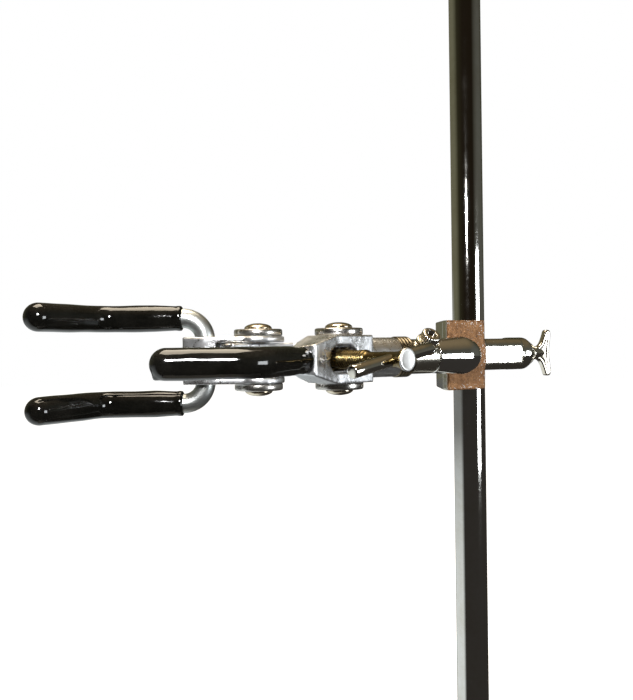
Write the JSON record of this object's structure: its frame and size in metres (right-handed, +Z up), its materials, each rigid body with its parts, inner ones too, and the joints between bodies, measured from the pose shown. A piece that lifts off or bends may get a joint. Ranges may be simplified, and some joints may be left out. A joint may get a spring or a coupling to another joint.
{
  "type": "retort stand",
  "caption": "Laboratory retort stand: flat base, plated upright rod, sliding holder and a swivelling arm with a three-prong jaw clamp.",
  "frame": {"origin": "centre of the stand's footprint, on the bench under the feet", "axes": "+Z up along the rod; the clamp's arm points to -X and its single-prong jaw is on the -Y side"},
  "size_m": [0.25, 0.16, 0.616],
  "materials": {
    "base_enamel": "hammered stove enamel on cast iron",
    "foot_rubber": "moulded rubber",
    "rod_chrome": "bright plate on steel bar",
    "plain_steel": "bright zinc-plated steel",
    "holder_plate": "plated casting, worn to its copper under-plate on the front face",
    "screw_nickel": "nickel plate",
    "tip_brass": "turned brass",
    "socket_chrome": "bright plate over a cast surface",
    "arm_steel": "satin nickel",
    "ring_dark": "oiled dark steel",
    "satin_alloy": "tumbled and polished light alloy",
    "pin_nickel": "nickel-plated pin head",
    "disc_steel": "satin steel",
    "prong_steel": "satin plated steel bar",
    "tee_bronze": "dark bronzed steel",
    "bar_chrome": "bright bar",
    "vinyl_black": "glossy dipped vinyl"
  },
  "bodies": {
    "stand": {"base_plate": "base_enamel", "base_feet": "foot_rubber", "upright_rod": "rod_chrome", "base_washer": "plain_steel", "base_nut": "plain_steel"},
    "holder": {"rod_holder": "holder_plate"},
    "tip": {"pressure_tip": "tip_brass"},
    "thumbscrew": {"thumbscrew": "screw_nickel"},
    "socket": {"swivel_socket": "socket_chrome", "swivel_pin": "plain_steel", "swivel_nut": "plain_steel"},
    "arm": {"arm_tube": "arm_steel", "arm_ring": "ring_dark", "clamp_head": "satin_alloy", "front_jaw_pin": "pin_nickel", "back_jaw_pin": "pin_nickel", "front_pin_discs": "disc_steel", "back_pin_discs": "disc_steel"},
    "lock_screw": {"arm_lock_screw": "screw_nickel"},
    "front_jaw": {"front_jaw": "satin_alloy", "front_prong": "prong_steel", "front_rivet": "pin_nickel", "front_sleeve": "vinyl_black"},
    "front_screw": {"front_tee_screw": "tee_bronze", "front_tee_bar": "bar_chrome"},
    "front_trunnion": {"front_trunnion": "tee_bronze"},
    "back_jaw": {"back_jaw": "satin_alloy", "back_fork": "prong_steel", "back_sleeve_upper": "vinyl_black", "back_sleeve_lower": "vinyl_black"},
    "back_screw": {"back_tee_screw": "tee_bronze", "back_tee_bar": "bar_chrome"},
    "back_trunnion": {"back_trunnion": "tee_bronze"}
  },
  "joints": [
    {"name": "holder_slide", "type": "slide", "parent": "stand", "child": "holder", "axis": [0, 0, 1], "range_m": [-0.24, 0.28]},
    {"name": "tip_slide", "type": "slide", "parent": "holder", "child": "tip", "axis": [1, 0, 0], "range_m": [0, 0.00305]},
    {"name": "thumbscrew_turn", "type": "hinge", "parent": "tip", "child": "thumbscrew", "pos_m": [0.11, 0, 0.3], "axis": [1, 0, 0], "range_deg": [0, 1080]},
    {"name": "socket_swivel", "type": "hinge", "parent": "holder", "child": "socket", "pos_m": [0.068, -0.005, 0.3], "axis": [0, -1, 0], "range_deg": [-60, 60]},
    {"name": "arm_roll", "type": "hinge", "parent": "socket", "child": "arm", "pos_m": [0.04, -0.0165, 0.3], "axis": [1, 0, 0], "continuous": true},
    {"name": "lock_turn", "type": "hinge", "parent": "arm", "child": "lock_screw", "pos_m": [0.0438, -0.0165, 0.3], "axis": [0, -0.7071, 0.7071], "range_deg": [0, 360]},
    {"name": "front_jaw_pivot", "type": "hinge", "parent": "arm", "child": "front_jaw", "pos_m": [0.0072, -0.0225, 0.3], "axis": [0, 0, 1], "range_deg": [-18.2, 14.2]},
    {"name": "front_screw_turn", "type": "hinge", "parent": "front_jaw", "child": "front_screw", "pos_m": [-0.00049, -0.02471, 0.3], "axis": [0.2756, -0.9613, 0], "range_deg": [-900, 700]},
    {"name": "front_trunnion_turn", "type": "hinge", "parent": "arm", "child": "front_trunnion", "pos_m": [-0.00049, -0.02471, 0.3], "axis": [0, 0, 1], "range_deg": [-18.2, 14.2]},
    {"name": "back_jaw_pivot", "type": "hinge", "parent": "arm", "child": "back_jaw", "pos_m": [-0.0167, -0.0105, 0.3], "axis": [0, 0, -1], "range_deg": [-8.2, 22.2]},
    {"name": "back_screw_turn", "type": "hinge", "parent": "back_jaw", "child": "back_screw", "pos_m": [-0.02469, -0.01008, 0.3], "axis": [0.0523, 0.9986, 0], "range_deg": [-400, 1100]},
    {"name": "back_trunnion_turn", "type": "hinge", "parent": "arm", "child": "back_trunnion", "pos_m": [-0.02469, -0.01008, 0.3], "axis": [0, 0, -1], "range_deg": [-8.2, 22.2]}
  ],
  "couplings": [
    {"joint": "tip_slide", "follows": "thumbscrew_turn", "m_per_rad": 0.00015915},
    {"joint": "front_jaw_pivot", "follows": "front_screw_turn", "ratio": 0.019894},
    {"joint": "front_trunnion_turn", "follows": "front_screw_turn", "ratio": 0.019894},
    {"joint": "back_jaw_pivot", "follows": "back_screw_turn", "ratio": 0.019894},
    {"joint": "back_trunnion_turn", "follows": "back_screw_turn", "ratio": 0.019894}
  ]
}
